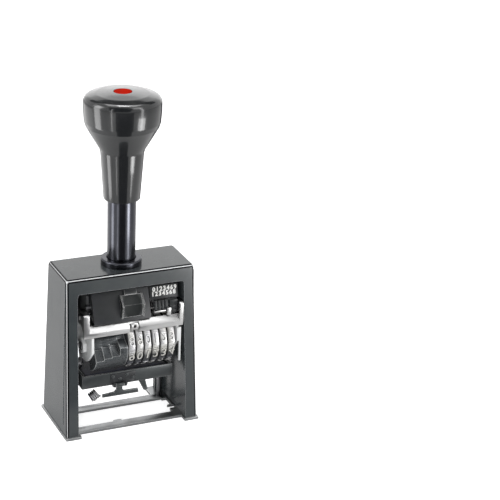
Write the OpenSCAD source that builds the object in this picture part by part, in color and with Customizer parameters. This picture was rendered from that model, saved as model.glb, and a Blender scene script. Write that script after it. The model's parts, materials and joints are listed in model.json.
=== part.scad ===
// Hand numbering stamp: a wheel carriage slides down inside a portal housing when the knob is
// pressed, and the ink-pad tray swings out of its way to the rear.
// X is to the right, Y into the depth (the operator's side is -Y), Z is up, the origin is the middle of the base.

/* [Housing] */
// Width of the housing at its top
top_w = 72.8; // [71:0.2:74]
// Depth of the housing at its top
top_d = 31; // [30:0.5:33]
// Width of the housing where it meets the base
foot_w = 76.2; // [75:0.2:76.4]
// Depth of the housing where it meets the base
foot_d = 42; // [41:0.5:43]
// Height of the housing above the base plate
housing_h = 89.6; // [89:0.2:90]
// Half the width of the front opening, at its top
window_half = 30.2; // [30:0.1:30.6]
// Height of the front opening's upper edge
window_top = 81; // [80:0.5:82]
// Thickness of the rear wall
wall_t = 2.8; // [2.5:0.1:2.9]

/* [Base plate] */
// Width of the base plate
base_w = 77.2; // [77:0.2:79]
// Depth of the base plate, feet included
base_d = 44; // [43.6:0.2:45]
// Thickness of the base plate
base_t = 1.5; // [1.2:0.1:1.6]

/* [Handle] */
// Overall height, from the base to the crown of the knob
overall_h = 187.3; // [186:0.2:190]
// Largest radius of the knob
knob_r = 20.6; // [19:0.1:22]
// Radius of the lower end of the handle sleeve
sleeve_r = 9.7; // [9.3:0.1:10.5]
// Radius of the neck tube
neck_r = 7.6; // [7.5:0.1:7.8]
// Travel of the handle and the wheel carriage
stroke = 32.3; // [32:0.1:32.3]

/* [Figure wheels] */
// Number of figure wheels
wheel_count = 6; // [6:1:6]
// Distance from one figure wheel to the next
wheel_pitch = 4.6; // [4.5:0.05:4.6]
// Width of one figure wheel
wheel_w = 4.2; // [4:0.05:4.2]
// Distance from the wheel shaft to the printing face of a figure
type_r = 14.8; // [14.6:0.1:14.9]
// Radius of the wheel shaft
shaft_r = 2.5; // [2.2:0.1:2.8]

/* [Ink pad] */
// Half the width of the tray front
tray_half = 26.2; // [26:0.1:26.4]
// Height of the tray front's upper edge
tray_top = 30.4; // [30.2:0.1:30.4]
// Height of the pad's inked face
pad_top = 30.6; // [30.4:0.1:30.6]

/* [Springs] */
// Turns of the return spring
return_turns = 12; // [8:1:14]
// Radius of the return spring's wire
return_wire_r = 0.6; // [0.4:0.05:0.7]
// Turns of the small spring on the release lever
lever_turns = 4; // [3:1:5]
// Radius of the small spring's wire
lever_wire_r = 0.5; // [0.4:0.05:0.6]

/* [Hidden] */
fit = 0.05;
wheel_y = -4.5;
wheel_z = 46;
wheel1_x = -0.1;
cheek_l = -22.5;
cheek_r = 26.6;
cheek_t = 1.3;
drum_x0 = -20.4;
drum_x1 = -2.6;
drum_r = 14.5;
rod_x = 27.4;
rod_y = 10.3;
rod_r = 1.2;
pad_pivot_y = 15.5;
pad_pivot_z = 40;
pad_pin_r = 1.6;
rocker_y = 6;
rocker_z = 62;
rocker_pin_r = 1.3;
lever_y = -14;
lever_z = 23.6;
pin_y = -11.9;
pin_z = 66;
ceiling_z = 84;
collar_h = 3.4;
spring_z0 = 92;
cap_r = 4.75;
sleeve_z0 = 126.5;
knob_z0 = 153.4;
bore_top = 168;
sleeve_roof = 166.4;
crown_z = overall_h - base_t;
// pressed right down, the sleeve's roof stops just above the neck tube
neck_top = sleeve_roof - stroke - 0.6;
black = "#1c1d20";
nickel = "#c9c9c6";
steel = "#9a9c9e";

// ---------- shared shapes ----------

// A yz outline drawn from x0 to x1
module along_x(x0, x1) {
    translate([x0, 0, 0])
        rotate([90, 0, 90])
            linear_extrude(x1 - x0) children();
}

// A round bar along X
module bar_x(r, x0, x1, y, z, sides = 48) {
    translate([x0, y, z])
        rotate([0, 90, 0])
            cylinder(r = r, h = x1 - x0, $fn = sides);
}

// A round bar along Y
module bar_y(r, y0, y1, x, z, sides = 48) {
    translate([x, y0, z])
        rotate([-90, 0, 0])
            cylinder(r = r, h = y1 - y0, $fn = sides);
}

// A block from one corner to the opposite one
module block(a, b) {
    translate(a) cube(b - a);
}

// A hexagon nut or head along Z
module hex_z(across, h) {
    cylinder(d = across / cos(30), h = h, $fn = 6);
}

// The points of one ring of a wire of radius r round a point p, in the plane of the vectors u and v
function ring(p, r, u, v, sides) = [for (k = [0 : sides - 1]) p + r * (cos(360 * k / sides) * u
    + sin(360 * k / sides) * v)];

// One unbroken wire tube through the rings of a helix along Z
module helix_wire(mean_r, wire_r, height, turns, rings_per_turn = 8, sides = 6) {
    steps = turns * rings_per_turn;
    slope = atan2(height / turns, 2 * PI * mean_r);
    places = [for (i = [0 : steps]) let (a = 360 * i / rings_per_turn)
        [mean_r * cos(a), mean_r * sin(a), wire_r + (height - 2 * wire_r) * i / steps]];
    points = [for (i = [0 : steps]) let (a = 360 * i / rings_per_turn)
        each ring(places[i], wire_r, [cos(a), sin(a), 0],
            [sin(a) * sin(slope), -cos(a) * sin(slope), cos(slope)], sides)];
    walls = [for (i = [0 : steps - 1], k = [0 : sides - 1])
        let (a = i * sides + k, b = i * sides + (k + 1) % sides)
        each [[a, a + sides, b], [b, a + sides, b + sides]]];
    caps = concat([for (k = [1 : sides - 2]) [0, k, k + 1]],
        [for (k = [1 : sides - 2]) let (s = steps * sides) [s, s + k + 1, s + k]]);
    polyhedron(points, concat(walls, caps), convexity = 10);
    gaps = [for (i = [0 : steps - rings_per_turn / 2])
        min([for (j = [i + rings_per_turn / 2 : steps]) norm(places[i] - places[j]) - 2 * wire_r])];
    echo("least gap of the wire to itself, mm", min(gaps));
}

// ---------- fixed frame ----------

module base_outline() {
    front = -base_d / 2;
    difference() {
        translate([-base_w / 2, front]) square([base_w, base_d]);
        // the recess between the two front feet
        translate([-29.8, front - 1]) square([60.2, 6]);
        // the printing window, stepped at its right end
        translate([-27.9, -10.9]) square([55.3, 17.6]);
        translate([26.6, -6.8]) square([4.6, 3.6]);
        translate([27.1, -2.6]) square([2.9, 8]);
        // the open rear
        translate([-23.5, 12.2]) square([47, base_d]);
    }
    // the pointer tab
    translate([-7.3, -11]) square([4.6, 1.6]);
}

module base_plate() color(steel) difference() {
    linear_extrude(base_t) base_outline();
    for (x = [-34, 34], y = [-15.5, 17])
        translate([x, y, -0.01]) cylinder(r1 = 2.6, r2 = 1.4, h = base_t + 0.02, $fn = 32);
    for (x = [-rod_x, rod_x])
        translate([x, rod_y, -1]) cylinder(r = 0.9, h = 4, $fn = 32);
}

module base_screws() color(steel) for (x = [-34, 34], y = [-15.5, 17])
    translate([x, y, 0]) difference() {
        union() {
            cylinder(r1 = 2.5, r2 = 1.3, h = base_t, $fn = 32);
            cylinder(r = 1.25, h = 9, $fn = 32);
        }
        block([-0.3, -3, -1], [0.3, 3, 0.6]);
    }

module housing_shell() {
    corner = 1.8;
    hull() {
        for (x = [-1, 1], y = [-1, 1]) {
            translate([x * (top_w / 2 - corner), y * (top_d / 2 - corner), housing_h - corner])
                sphere(corner, $fn = 32);
            translate([x * (foot_w / 2 - corner), y * (foot_d / 2 - corner), 0])
                cylinder(r = corner, h = 0.5, $fn = 32);
        }
    }
}

module housing_cavity() {
    spread = 1.05;
    hull() {
        translate([-window_half, -top_d / 2 + wall_t, ceiling_z - 1])
            cube([2 * window_half, top_d - 2 * wall_t, 1]);
        translate([-window_half - spread, -foot_d / 2 + wall_t, 0])
            cube([2 * (window_half + spread), foot_d - 2 * wall_t, 1]);
    }
}

module housing_window() {
    spread = 1.05;
    hull() {
        for (x = [-1, 1])
            translate([x * (window_half - 1.5), -5, window_top - 1.5])
                rotate([90, 0, 0]) cylinder(r = 1.5, h = 25, $fn = 32);
        translate([-window_half - spread, -30, 0]) cube([2 * (window_half + spread), 25, 1]);
    }
}

module housing() color(black) difference() {
    union() {
        housing_shell();
        side_rib(1);
        side_rib(-1);
    }
    housing_cavity();
    housing_window();
    // the rear is open between the two rear legs
    block([-28, 5, 0], [28, 40, 53]);
    translate([0, 0, 80]) cylinder(r = neck_r, h = 20, $fn = 64);
    for (x = [-rod_x, rod_x])
        translate([x, rod_y, 83]) cylinder(r = 0.9, h = 3, $fn = 32);
    bar_x(pad_pin_r, -34.4, 34.4, pad_pivot_y, pad_pivot_z);
    for (x = [-34, 34], y = [-15.5, 17])
        translate([x, y, 0]) cylinder(r = 1.25, h = 9.5, $fn = 32);
}

// The thin upright rib on a side face, which leans inwards
module side_rib(side) {
    lean = atan2((foot_w - top_w) / 2, housing_h);
    translate([side * foot_w / 2, 0, 0])
        rotate([0, -side * lean, 0])
            translate([-0.3, -14.4, 5]) cube([0.6, 0.7, 81]);
}

module neck_tube() color(black) difference() {
    union() {
        translate([0, 0, 82.6]) cylinder(r = 10.4, h = ceiling_z - 82.6, $fn = 64);
        translate([0, 0, ceiling_z]) cylinder(r = neck_r, h = neck_top - ceiling_z, $fn = 64);
    }
    translate([0, 0, spring_z0]) cylinder(r = 6.1, h = 50, $fn = 64);
    translate([0, 0, 80]) cylinder(r = 3 + fit, h = 20, $fn = 48);
}

module neck_collar() color(black) translate([0, 0, housing_h]) rotate_extrude($fn = 64)
    polygon([[neck_r, 0], [11.1, 0], [11.1, collar_h - 0.7], [10.5, collar_h], [neck_r, collar_h]]);

module guide_rods() color(steel) for (x = [-rod_x, rod_x]) translate([x, rod_y, 0]) {
    cylinder(r = rod_r, h = ceiling_z, $fn = 32);
    translate([0, 0, 0.2 - base_t]) cylinder(r = 0.9, h = 85.6 + base_t, $fn = 32);
}

module pad_pivot_pins() color(steel) for (side = [0, 1]) mirror([side, 0, 0]) {
    bar_x(pad_pin_r, 24.5, 34.2, pad_pivot_y, pad_pivot_z);
    bar_x(2.4, 24.0, 24.5, pad_pivot_y, pad_pivot_z);
}

module return_spring() color(steel) translate([0, 0, spring_z0 + 0.1])
    helix_wire(4.7, return_wire_r, sleeve_roof - spring_z0 - 0.2, return_turns);

// ---------- handle ----------

module knob() color(black) difference() {
    rotate_extrude($fn = 96) polygon(knob_profile());
    translate([0, 0, 150]) cylinder(r = 9.6, h = bore_top - 150, $fn = 64);
    translate([0, 0, 160]) cylinder(r = 3, h = 40, $fn = 48);
    translate([0, 0, 176]) cylinder(r = cap_r + 0.1, h = 20, $fn = 64);
}

function arc_pts(c, r, a0, a1, n) = [for (i = [0 : n]) let (a = a0 + (a1 - a0) * i / n)
    [c[0] + r * cos(a), c[1] + r * sin(a)]];

// Half outline of the mushroom knob: a cone, a rounded rim and a shallow crown
function knob_profile() = concat(
    [[0, knob_z0], [11.85, knob_z0], [12.0, knob_z0 + 1.0], [19.2, knob_z0 + 13.4]],
    [[20.1, knob_z0 + 16.2], [knob_r, knob_z0 + 21.6]],
    arc_pts([knob_r - 4.1, knob_z0 + 25.6], 4.1, 0, 70, 8),
    [[12.5, crown_z - 1.6], [8.5, crown_z - 0.8], [4.8, crown_z - 0.4], [0, crown_z - 0.3]]);

module knob_cap() color("#b8261c") translate([0, 0, crown_z - 6]) rotate_extrude($fn = 64)
    polygon([[0, 0], [cap_r, 0], [cap_r, 5.4], [cap_r - 0.4, 5.75], [2.4, 5.95], [0, 6]]);

module handle_sleeve() color(black) difference() {
    rotate_extrude($fn = 96) polygon([
        [0, sleeve_z0], [sleeve_r - 0.5, sleeve_z0], [sleeve_r, sleeve_z0 + 0.7],
        [11.6, knob_z0], [9.6, knob_z0], [9.6, bore_top], [0, bore_top]]);
    translate([0, 0, 120]) cylinder(r = neck_r + fit, h = sleeve_roof - 120, $fn = 64);
    translate([0, 0, 160]) cylinder(r = 3, h = 20, $fn = 48);
}

module plunger_rod() color(nickel) {
    translate([0, 0, 76]) cylinder(r = 3, h = 101.4, $fn = 48);
    translate([0, 0, 70.5]) cylinder(r = 2, h = 5.5, $fn = 48);
}

module plunger_nut() color(steel) translate([0, 0, 176.1]) difference() {
    hex_z(8.2, 3.4);
    translate([0, 0, -1]) cylinder(r = 3, h = 2.3, $fn = 48);
}

// ---------- carriage ----------

module crosshead() color(steel) difference() {
    union() {
        block([-22.6, -4, 76], [28, 9.4, 80]);
        for (x = [-rod_x, rod_x])
            translate([x, rod_y, 76]) cylinder(r = 2, h = 4, $fn = 48);
        block([-rod_x - 2, 4, 76], [rod_x + 2, rod_y, 80]);
    }
    translate([0, 0, 70]) cylinder(r = 2, h = 20, $fn = 48);
    translate([0, 0, 76]) cylinder(r = 3, h = 20, $fn = 48);
    for (x = [-rod_x, rod_x])
        translate([x, rod_y, 70]) cylinder(r = 1.55, h = 20, $fn = 48);
    for (p = screw_places())
        translate([p[0], p[1], 70]) cylinder(r = 1, h = 20, $fn = 32);
}

function screw_places() = [[-19, 0], [-19, 7], [23.4, 0], [23.4, 7]];

module crosshead_nut() color(steel) translate([0, 0, 72.9]) difference() {
    hex_z(7, 3.1);
    translate([0, 0, -1]) cylinder(r = 2, h = 5, $fn = 48);
}

module guide_bushes() color("#b99a4a") for (x = [-rod_x, rod_x]) translate([x, rod_y, 75]) difference() {
    union() {
        cylinder(r = 2, h = 1, $fn = 48);
        cylinder(r = 1.55, h = 5, $fn = 48);
    }
    translate([0, 0, -1]) cylinder(r = rod_r + fit, h = 8, $fn = 48);
}

module buffer_washer() color("#242424") translate([0, 0, 80]) difference() {
    cylinder(r = 9, h = 2.2, $fn = 64);
    translate([0, 0, -1]) cylinder(r = 3.4, h = 5, $fn = 48);
}

// Side plate of the carriage: a rounded nose round the wheel shaft, and a bent top flange
module cheek_outline(front, rear) {
    hull() {
        translate([wheel_y, wheel_z]) circle(9, $fn = 64);
        translate([front, wheel_z]) square([1, 8.6]);
        translate([rear - 4, 46]) square([4, 26]);
    }
    translate([front + 0.6, wheel_z + 8]) square([rear - front - 0.6, 4]);
    translate([-8, 60]) square([rear + 8, 16]);
}

module cheek_bores(x) {
    bar_x(shaft_r, x - 2, x + 3, wheel_y, wheel_z);
    bar_x(rocker_pin_r, x - 2, x + 3, rocker_y, rocker_z);
    for (p = tie_places())
        bar_x(1.2, x - 2, x + 3, p[0], p[1], 32);
}

function tie_places() = [[-9, 69.9], [5.5, 70.5]];

module left_cheek() color(nickel) difference() {
    union() {
        along_x(cheek_l, cheek_l + cheek_t) cheek_outline(-16.9, 8.1);
        block([cheek_l, -3, 74.8], [-16.5, 8.1, 76]);
    }
    cheek_bores(cheek_l);
    for (y = [0, 7])
        translate([-19, y, 70]) cylinder(r = 1, h = 10, $fn = 32);
}

module right_cheek() color(nickel) difference() {
    union() {
        along_x(cheek_r, cheek_r + cheek_t) cheek_outline(-15.6, 8.1);
        block([21, -3, 74.8], [cheek_r + 0.2, 8.1, 76]);
        // the bright flange that is bent forward beside the wheels
        block([cheek_r, -16.9, 46], [cheek_r + 2.3, -15.6, 54]);
        block([cheek_r + 1.3, -16.9, 34], [cheek_r + 2.3, -15.6, 46.5]);
    }
    cheek_bores(cheek_r);
    for (y = [0, 7])
        translate([23.4, y, 70]) cylinder(r = 1, h = 10, $fn = 32);
}

module cheek_screws() color(steel) for (p = screw_places()) translate([p[0], p[1], 0]) difference() {
    union() {
        translate([0, 0, 73.2]) cylinder(r = 1, h = 6.8, $fn = 32);
        translate([0, 0, 80]) cylinder(r = 1.9, h = 1.3, $fn = 32);
    }
    block([-0.25, -3, 80.7], [0.25, 3, 82]);
}

module tie_rods() color(steel) for (p = tie_places()) {
    bar_x(1.2, cheek_l - 1.2, cheek_r + cheek_t + 1, p[0], p[1], 32);
    bar_x(2, cheek_l + cheek_t, cheek_r, p[0], p[1], 32);
}

// Roof-shaped cross section of the nickel bar, thin where it passes the wheels
module bar_section() {
    polygon([[-17.3, 55.4], [-17.8, 58.3], [-15.4, 61.8], [-14.6, 61.2], [-16.7, 58.2], [-16.65, 55.4]]);
}

module lug_section() {
    polygon([[-17.3, 55.4], [-17.8, 58.3], [-17.5, 68.3], [-16.8, 68.9], [-11.4, 68.9],
        [-10.6, 68.1], [-10.6, 63], [-13.4, 61], [-16.7, 58.2], [-16.65, 55.4]]);
}

module front_bar() color(nickel) difference() {
    union() {
        along_x(-24, -1.1) bar_section();
        along_x(4.4, 28) bar_section();
        along_x(-1.2, 4.5) polygon([[-16.4, 60.3], [-15.4, 61.8], [-14.6, 61.2], [-15.6, 59.9]]);
        along_x(-27.2, -24) lug_section();
        along_x(27.6, 29.7) lug_section();
        // the two ends are bent back and screwed to the cheeks
        block([-27.2, -16, 62], [-26, -5.5, 67]);
        block([-26.2, -9, 62], [cheek_l, -5.5, 67]);
        block([28.5, -16, 62], [29.7, -5.5, 67]);
        block([cheek_r + cheek_t, -9, 62], [28.8, -5.5, 67]);
    }
    bar_x(0.8, -29, 32, pin_y, pin_z, 32);
}

module cover_pin() color(nickel) {
    bar_x(0.8, -27.6, 29.7, pin_y, pin_z, 32);
    bar_x(1.3, -28.4, -27.2, pin_y, pin_z, 32);
}

// Slope of the selector cover, from its lower front edge to its upper rear edge
cover_low = [-17.0, 62.3];
cover_high = [-11.3, 78.3];

module selector_cover() color(black) difference() {
    union() {
        along_x(-20.9, 11.3) polygon([cover_low, cover_high, [-5, 79.3], [-5, 78.3], [-10.7, 77.4],
            [-16.1, 62.4]]);
        along_x(-20.9, -19.9) polygon([[-16.4, 62.6], [-11, 78], [-5, 78.6], [-5, 70], [-12.2, 64]]);
        along_x(10.3, 11.3) polygon([[-16.4, 62.6], [-11, 78], [-5, 78.6], [-5, 70], [-12.2, 64]]);
    }
    bar_x(0.8, -30, 20, pin_y, pin_z, 32);
    // the slot in the top edge that the selector slide hooks into
    block([-18.4, -9.9, 76], [9.2, -8.1, 80.5]);
    bar_x(2.05, -30, 20, tie_places()[0][0], tie_places()[0][1], 32);
}

module index_plate() color(black) {
    along_x(12, 28.4) polygon([[-13.2, 70.8], [-11.6, 78.2], [-10.8, 78], [-12.4, 70.6]]);
    block([12.2, -12, 73], [13.4, -6, 76]);
}

module finger_comb() color("#26292d") {
    for (i = [0 : 3])
        along_x(13.9 + i * 2.0, 15.4 + i * 2.0) polygon([[-15.6, 65.6], [-14.6, 70.6], [-13.6, 70.4],
            [-14.6, 65.4]]);
    along_x(13.6, 27.3) polygon([[-13.9, 66.5], [-13.3, 70.4], [-12.5, 70.2], [-13.2, 66.3]]);
}

module comb_strip() color(nickel) block([13.4, -15.9, 64.2], [20.2, -14.9, 65.2]);

module comb_post() color(nickel) block([20.6, -16.7, 62.2], [23, -15.7, 66.4]);

module grooved_block() color("#1f2225") difference() {
    block([22.8, -15.0, 62.4], [27.2, -13.9, 70.2]);
    for (z = [64.2, 66.6])
        block([22, -15.4, z], [28, -14.6, z + 0.9]);
}

module pawl_block() color(nickel) difference() {
    along_x(-0.4, 3.7) polygon([[-17.3, 56.8], [-17.9, 58.8], [-16.9, 60.4], [-16.1, 59.4], [-16.6, 57]]);
    bar_y(0.8, -20, -10, 1.6, 58.8, 32);
}

module wheel_shaft() color(steel) bar_x(shaft_r, cheek_l - 2.6, cheek_r + cheek_t + 1.0, wheel_y, wheel_z);

module shaft_nuts() color(steel) difference() {
    union() {
        translate([cheek_l - 2, wheel_y, wheel_z]) rotate([0, 90, 0]) hex_z(8, 2);
        translate([cheek_r + cheek_t, wheel_y, wheel_z]) rotate([0, 90, 0]) cylinder(r = 4, h = 0.9, $fn = 48);
    }
    bar_x(shaft_r, -40, 40, wheel_y, wheel_z);
}

// Six leaf fingers that rest just clear of the wheels, on one strip between the cheeks
module detent_comb() color(steel) {
    block([cheek_l + cheek_t, -1, 63.6], [cheek_r, 2.4, 64.6]);
    for (i = [0 : wheel_count - 1])
        along_x(wheel1_x + i * wheel_pitch - 1, wheel1_x + i * wheel_pitch + 1)
            polygon([[-0.9, 64.5], [-4.5, 62.4], [-5.2, 61.8], [-4.2, 61.5], [-0.9, 63.7]]);
}

module push_roller() color(steel) difference() {
    bar_x(3, -26, -23.4, -1.5, 34.4);
    bar_x(1.2, -30, -20, -1.5, 34.4, 32);
}

module roller_stud() color(steel) {
    bar_x(1.2, -26.6, cheek_l - 0.9, -1.5, 34.4, 32);
    // the stud stands on a small hanger in front of the left cheek
    along_x(cheek_l - 0.9, cheek_l) polygon([[-3.2, 33.2], [0.2, 33.2], [3.4, 44], [0.6, 44]]);
}

module rocker_shaft() color(steel) bar_x(rocker_pin_r, cheek_l - 0.8, cheek_r + cheek_t + 0.6, rocker_y, rocker_z, 32);

// ---------- feed pawls ----------

// The pawls' tube, with two trip plates that balance them on its other side
module pawl_rocker() color(steel) difference() {
    union() {
        bar_x(2.8, cheek_l + cheek_t + 0.4, cheek_r - 0.4, rocker_y, rocker_z);
        for (x = [[cheek_l + cheek_t + 1, -5.5], [5.5, 14]])
            along_x(x[0], x[1]) translate([rocker_y, rocker_z])
                polygon([[-0.5, 2.2], [-6.5, 9.6], [-5.3, 10.6], [1.5, 2.2]]);
    }
    bar_x(rocker_pin_r + fit, -30, 40, rocker_y, rocker_z, 32);
}

module feed_pawls() color(nickel) difference() {
    for (i = [0 : wheel_count - 1])
        along_x(wheel1_x + i * wheel_pitch - 0.8, wheel1_x + i * wheel_pitch + 0.8)
            polygon([[5.0, 60.4], [9, 63], [13.4, 52], [12.4, 47.4], [11.3, 48.2], [11.9, 51.8]]);
    bar_x(2.8, -30, 40, rocker_y, rocker_z);
}

// ---------- figure wheels and repeat drum ----------

// A ten-sided figure wheel, waisted between its figures, with a raised block for each figure
module type_wheel(i) {
    x = wheel1_x + (i - 1) * wheel_pitch;
    flat_r = type_r - 0.8;
    color(nickel) translate([x - wheel_w / 2, wheel_y, wheel_z]) rotate([0, 90, 0]) difference() {
        union() {
            rotate([0, 0, 18]) cylinder(r = flat_r / cos(18), h = wheel_w, $fn = 10);
            for (k = [0 : 9])
                rotate([0, 0, k * 36]) translate([flat_r - 0.5, -2.1, 0.75]) cube([1.3, 4.2, 2.7]);
        }
        for (k = [0 : 9], z = [-1.45, wheel_w - 0.55])
            rotate([0, 0, k * 36 + 18]) translate([flat_r - 1.6, -1.1, z]) cube([4, 2.2, 2]);
        translate([0, 0, -1]) cylinder(r = shaft_r + fit, h = 10, $fn = 64);
    }
}

// One hollow of the drum between two teeth, for a tooth whose edge stands at the angle tip
module drum_hollow(tip) {
    function spot(r, a) = [-r * sin(a), -r * cos(a)];
    polygon(concat(
        [spot(18, tip), spot(drum_r, tip), spot(9.8, tip + 22)],
        [for (a = [30 : 8 : 62]) spot(10.2, tip + a)],
        [spot(18, tip + 66)]));
}

// Four tracks of three teeth, each track turned a little from the next
module repeat_drum() color(black) {
    track = (drum_x1 - drum_x0) / 4;
    tips = [-19, -14, -11, 7];
    translate([drum_x0, wheel_y, wheel_z]) rotate([0, 90, 0]) difference() {
        cylinder(r = drum_r, h = 4 * track, $fn = 72);
        for (t = [0 : 3], k = [0 : 2])
            translate([0, 0, t * track - (t == 0 ? 1 : 0)])
                linear_extrude(track + (t == 0 || t == 3 ? 1 : 0)) drum_hollow(tips[t] + k * 120);
        translate([0, 0, -1]) cylinder(r = shaft_r + fit, h = 30, $fn = 64);
    }
}

// ---------- number selector ----------

// Side view of the folded slide: two plain flanges with a bend at finger height
module slide_flange() {
    polygon([[-12.7, 76.2], [-14.1, 76.4], [-18.8, 71.6], [-17.5, 64.3], [-16.8, 64.2]]);
}

module selector_slide() color("#2c2f33") {
    for (x = [-5.6, 6.35])
        along_x(x, x + 0.7) slide_flange();
    along_x(-4.9, 6.35) polygon([[-12.9, 75.9], [-13.7, 76.2], [-17.2, 71.6], [-17.0, 64.6], [-16.6, 64.5]]);
    // the hook that reaches over the cover's top edge
    along_x(-3, 4) polygon([[-13.7, 76.1], [-12.7, 79], [-12, 79.4], [-8.4, 79.85], [-8.4, 77],
        [-9.6, 77], [-9.6, 79], [-11.75, 78.7], [-12.7, 76]]);
}

// ---------- ink pad ----------

module carrier_arm() {
    hull() {
        translate([pad_pivot_y, pad_pivot_z]) circle(3.6, $fn = 32);
        translate([11.5, 23]) square([5, 4]);
    }
    translate([-10.6, 23]) square([23, 7.4]);
}

module pad_carrier() color("#2b2d30") difference() {
    union() {
        for (side = [0, 1])
            mirror([side, 0, 0]) along_x(24.6, 25.8) carrier_arm();
        block([-25.8, -10.6, 22.2], [25.8, 14, 23.2]);
        block([-25.8, 12.8, 22.2], [25.8, 14, 29]);
        // the fin that hangs under the carrier
        rotate([90, 0, 0]) translate([0, 0, 9.4]) linear_extrude(1.2)
            polygon([[7, 22.4], [10.9, 22.4], [12.4, 16.4], [11.6, 15.7], [10.2, 15.9]]);
    }
    bar_x(pad_pin_r + fit, -30, 30, pad_pivot_y, pad_pivot_z);
}

module pad_tray() color("#34363a") difference() {
    union() {
        block([-tray_half, -12.1, 23], [tray_half, -10.9, tray_top]);
        block([-24.3, -11.2, 23.6], [24.3, 12.2, 28.2]);
    }
    block([-23.5, -10.2, 24.4], [23.5, 11.4, 40]);
}

module felt_pad() color("#1d2433") block([-23.4, -10.1, 24.4], [23.4, 11.3, pad_top]);

module lever_bracket() color("#2b2d30") difference() {
    union() {
        block([-10, -12.6, 23.4], [4.2, -12.1, 29.6]);
        for (x = [-9, -2.6])
            bar_x(1.2, x, x + 1.2, lever_y, lever_z, 32);
        for (x = [-9, -2.6])
            block([x, lever_y, 23.6], [x + 1.2, -12.3, 25]);
    }
    bar_x(0.6, -12, 8, lever_y, lever_z, 32);
}

module bracket_rivets() color(nickel) for (p = [[-8.6, 28.2], [-4.6, 26.4], [-0.6, 28.4], [2.8, 26.2]])
    translate([p[0], -12.6, p[1]]) rotate([90, 0, 0]) rotate_extrude($fn = 32)
        polygon([[0, 0], [1, 0], [0.9, 0.35], [0.5, 0.6], [0, 0.7]]);

module lever_pin() color(steel) bar_x(0.6, -9.6, -0.8, lever_y, lever_z, 32);

module release_lever() color("#3a3c40") difference() {
    union() {
        bar_x(1.1, -7.6, -2.9, lever_y, lever_z, 32);
        rotate([90, 0, 0]) translate([0, 0, -lever_y - 0.5]) linear_extrude(1)
            polygon([[-15.4, 17.4], [5.6, 17.4], [5.2, 19.8], [-2.9, 19.8], [-3.9, 21], [-3.9, lever_z],
                [-7.5, lever_z], [-7.5, 21], [-8.5, 19.8], [-15.4, 19.2]]);
    }
    bar_x(0.6 + fit, -12, 8, lever_y, lever_z, 32);
}

module lever_spring() color(steel) translate([-22.3, -13.4, 17.7]) rotate([0, 55, 0])
    helix_wire(2.4, lever_wire_r, 5.6, lever_turns);

// ---------- which piece is drawn ----------

// Everything but the base plate and its screws is drawn from the plate's upper face
module raised() translate([0, 0, base_t]) children();

base_plate();
base_screws();
raised() housing();
raised() neck_tube();
raised() neck_collar();
raised() guide_rods();
raised() pad_pivot_pins();
raised() return_spring();
raised() knob();
raised() knob_cap();
raised() handle_sleeve();
raised() plunger_rod();
raised() plunger_nut();
raised() crosshead();
raised() crosshead_nut();
raised() guide_bushes();
raised() buffer_washer();
raised() left_cheek();
raised() right_cheek();
raised() cheek_screws();
raised() tie_rods();
raised() front_bar();
raised() cover_pin();
raised() selector_cover();
raised() index_plate();
raised() finger_comb();
raised() comb_strip();
raised() comb_post();
raised() grooved_block();
raised() pawl_block();
raised() wheel_shaft();
raised() shaft_nuts();
raised() detent_comb();
raised() push_roller();
raised() roller_stud();
raised() rocker_shaft();
raised() pawl_rocker();
raised() feed_pawls();
raised() repeat_drum();
raised() selector_slide();
raised() pad_carrier();
raised() pad_tray();
raised() felt_pad();
raised() lever_bracket();
raised() bracket_rivets();
raised() lever_pin();
raised() release_lever();
raised() lever_spring();
for (i = [1 : wheel_count])
    raised() type_wheel(i);
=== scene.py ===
import json
import math
import bpy
from mathutils import Vector, Matrix


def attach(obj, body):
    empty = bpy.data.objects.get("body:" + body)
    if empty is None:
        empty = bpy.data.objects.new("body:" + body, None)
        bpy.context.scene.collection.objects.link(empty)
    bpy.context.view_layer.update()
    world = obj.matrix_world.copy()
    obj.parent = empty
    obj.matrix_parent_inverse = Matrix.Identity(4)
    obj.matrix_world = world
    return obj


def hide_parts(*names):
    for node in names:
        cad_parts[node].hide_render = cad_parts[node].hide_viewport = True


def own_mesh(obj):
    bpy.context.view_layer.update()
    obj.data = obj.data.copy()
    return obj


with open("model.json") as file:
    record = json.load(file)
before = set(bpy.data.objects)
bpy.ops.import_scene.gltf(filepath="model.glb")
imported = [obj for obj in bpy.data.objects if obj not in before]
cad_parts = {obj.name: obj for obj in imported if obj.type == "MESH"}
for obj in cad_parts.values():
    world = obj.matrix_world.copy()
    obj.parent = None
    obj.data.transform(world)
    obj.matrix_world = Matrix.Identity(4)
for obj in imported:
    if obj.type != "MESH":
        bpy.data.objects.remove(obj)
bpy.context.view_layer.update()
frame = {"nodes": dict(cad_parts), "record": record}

mm = 0.001
plateThickness = 1.5  # new pieces are laid out from the base plate's upper face, then raised by this
bodyOf = {node: body for body, nodes in frame["record"]["behaviour"]["bodies"].items() for node in nodes}
slotOf = {row["node"]: row["material_slot"] for row in frame["record"]["subparts"]}
finishes = {}


# Camera at the photograph's viewing angle

view = {"azimuth": -25.24, "elevation": 21.96, "roll": -2.34, "target": (0.07645, 0.0, 0.0881),
        "distance": 0.9405, "lens": 121.4, "sensor": 36}


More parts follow.
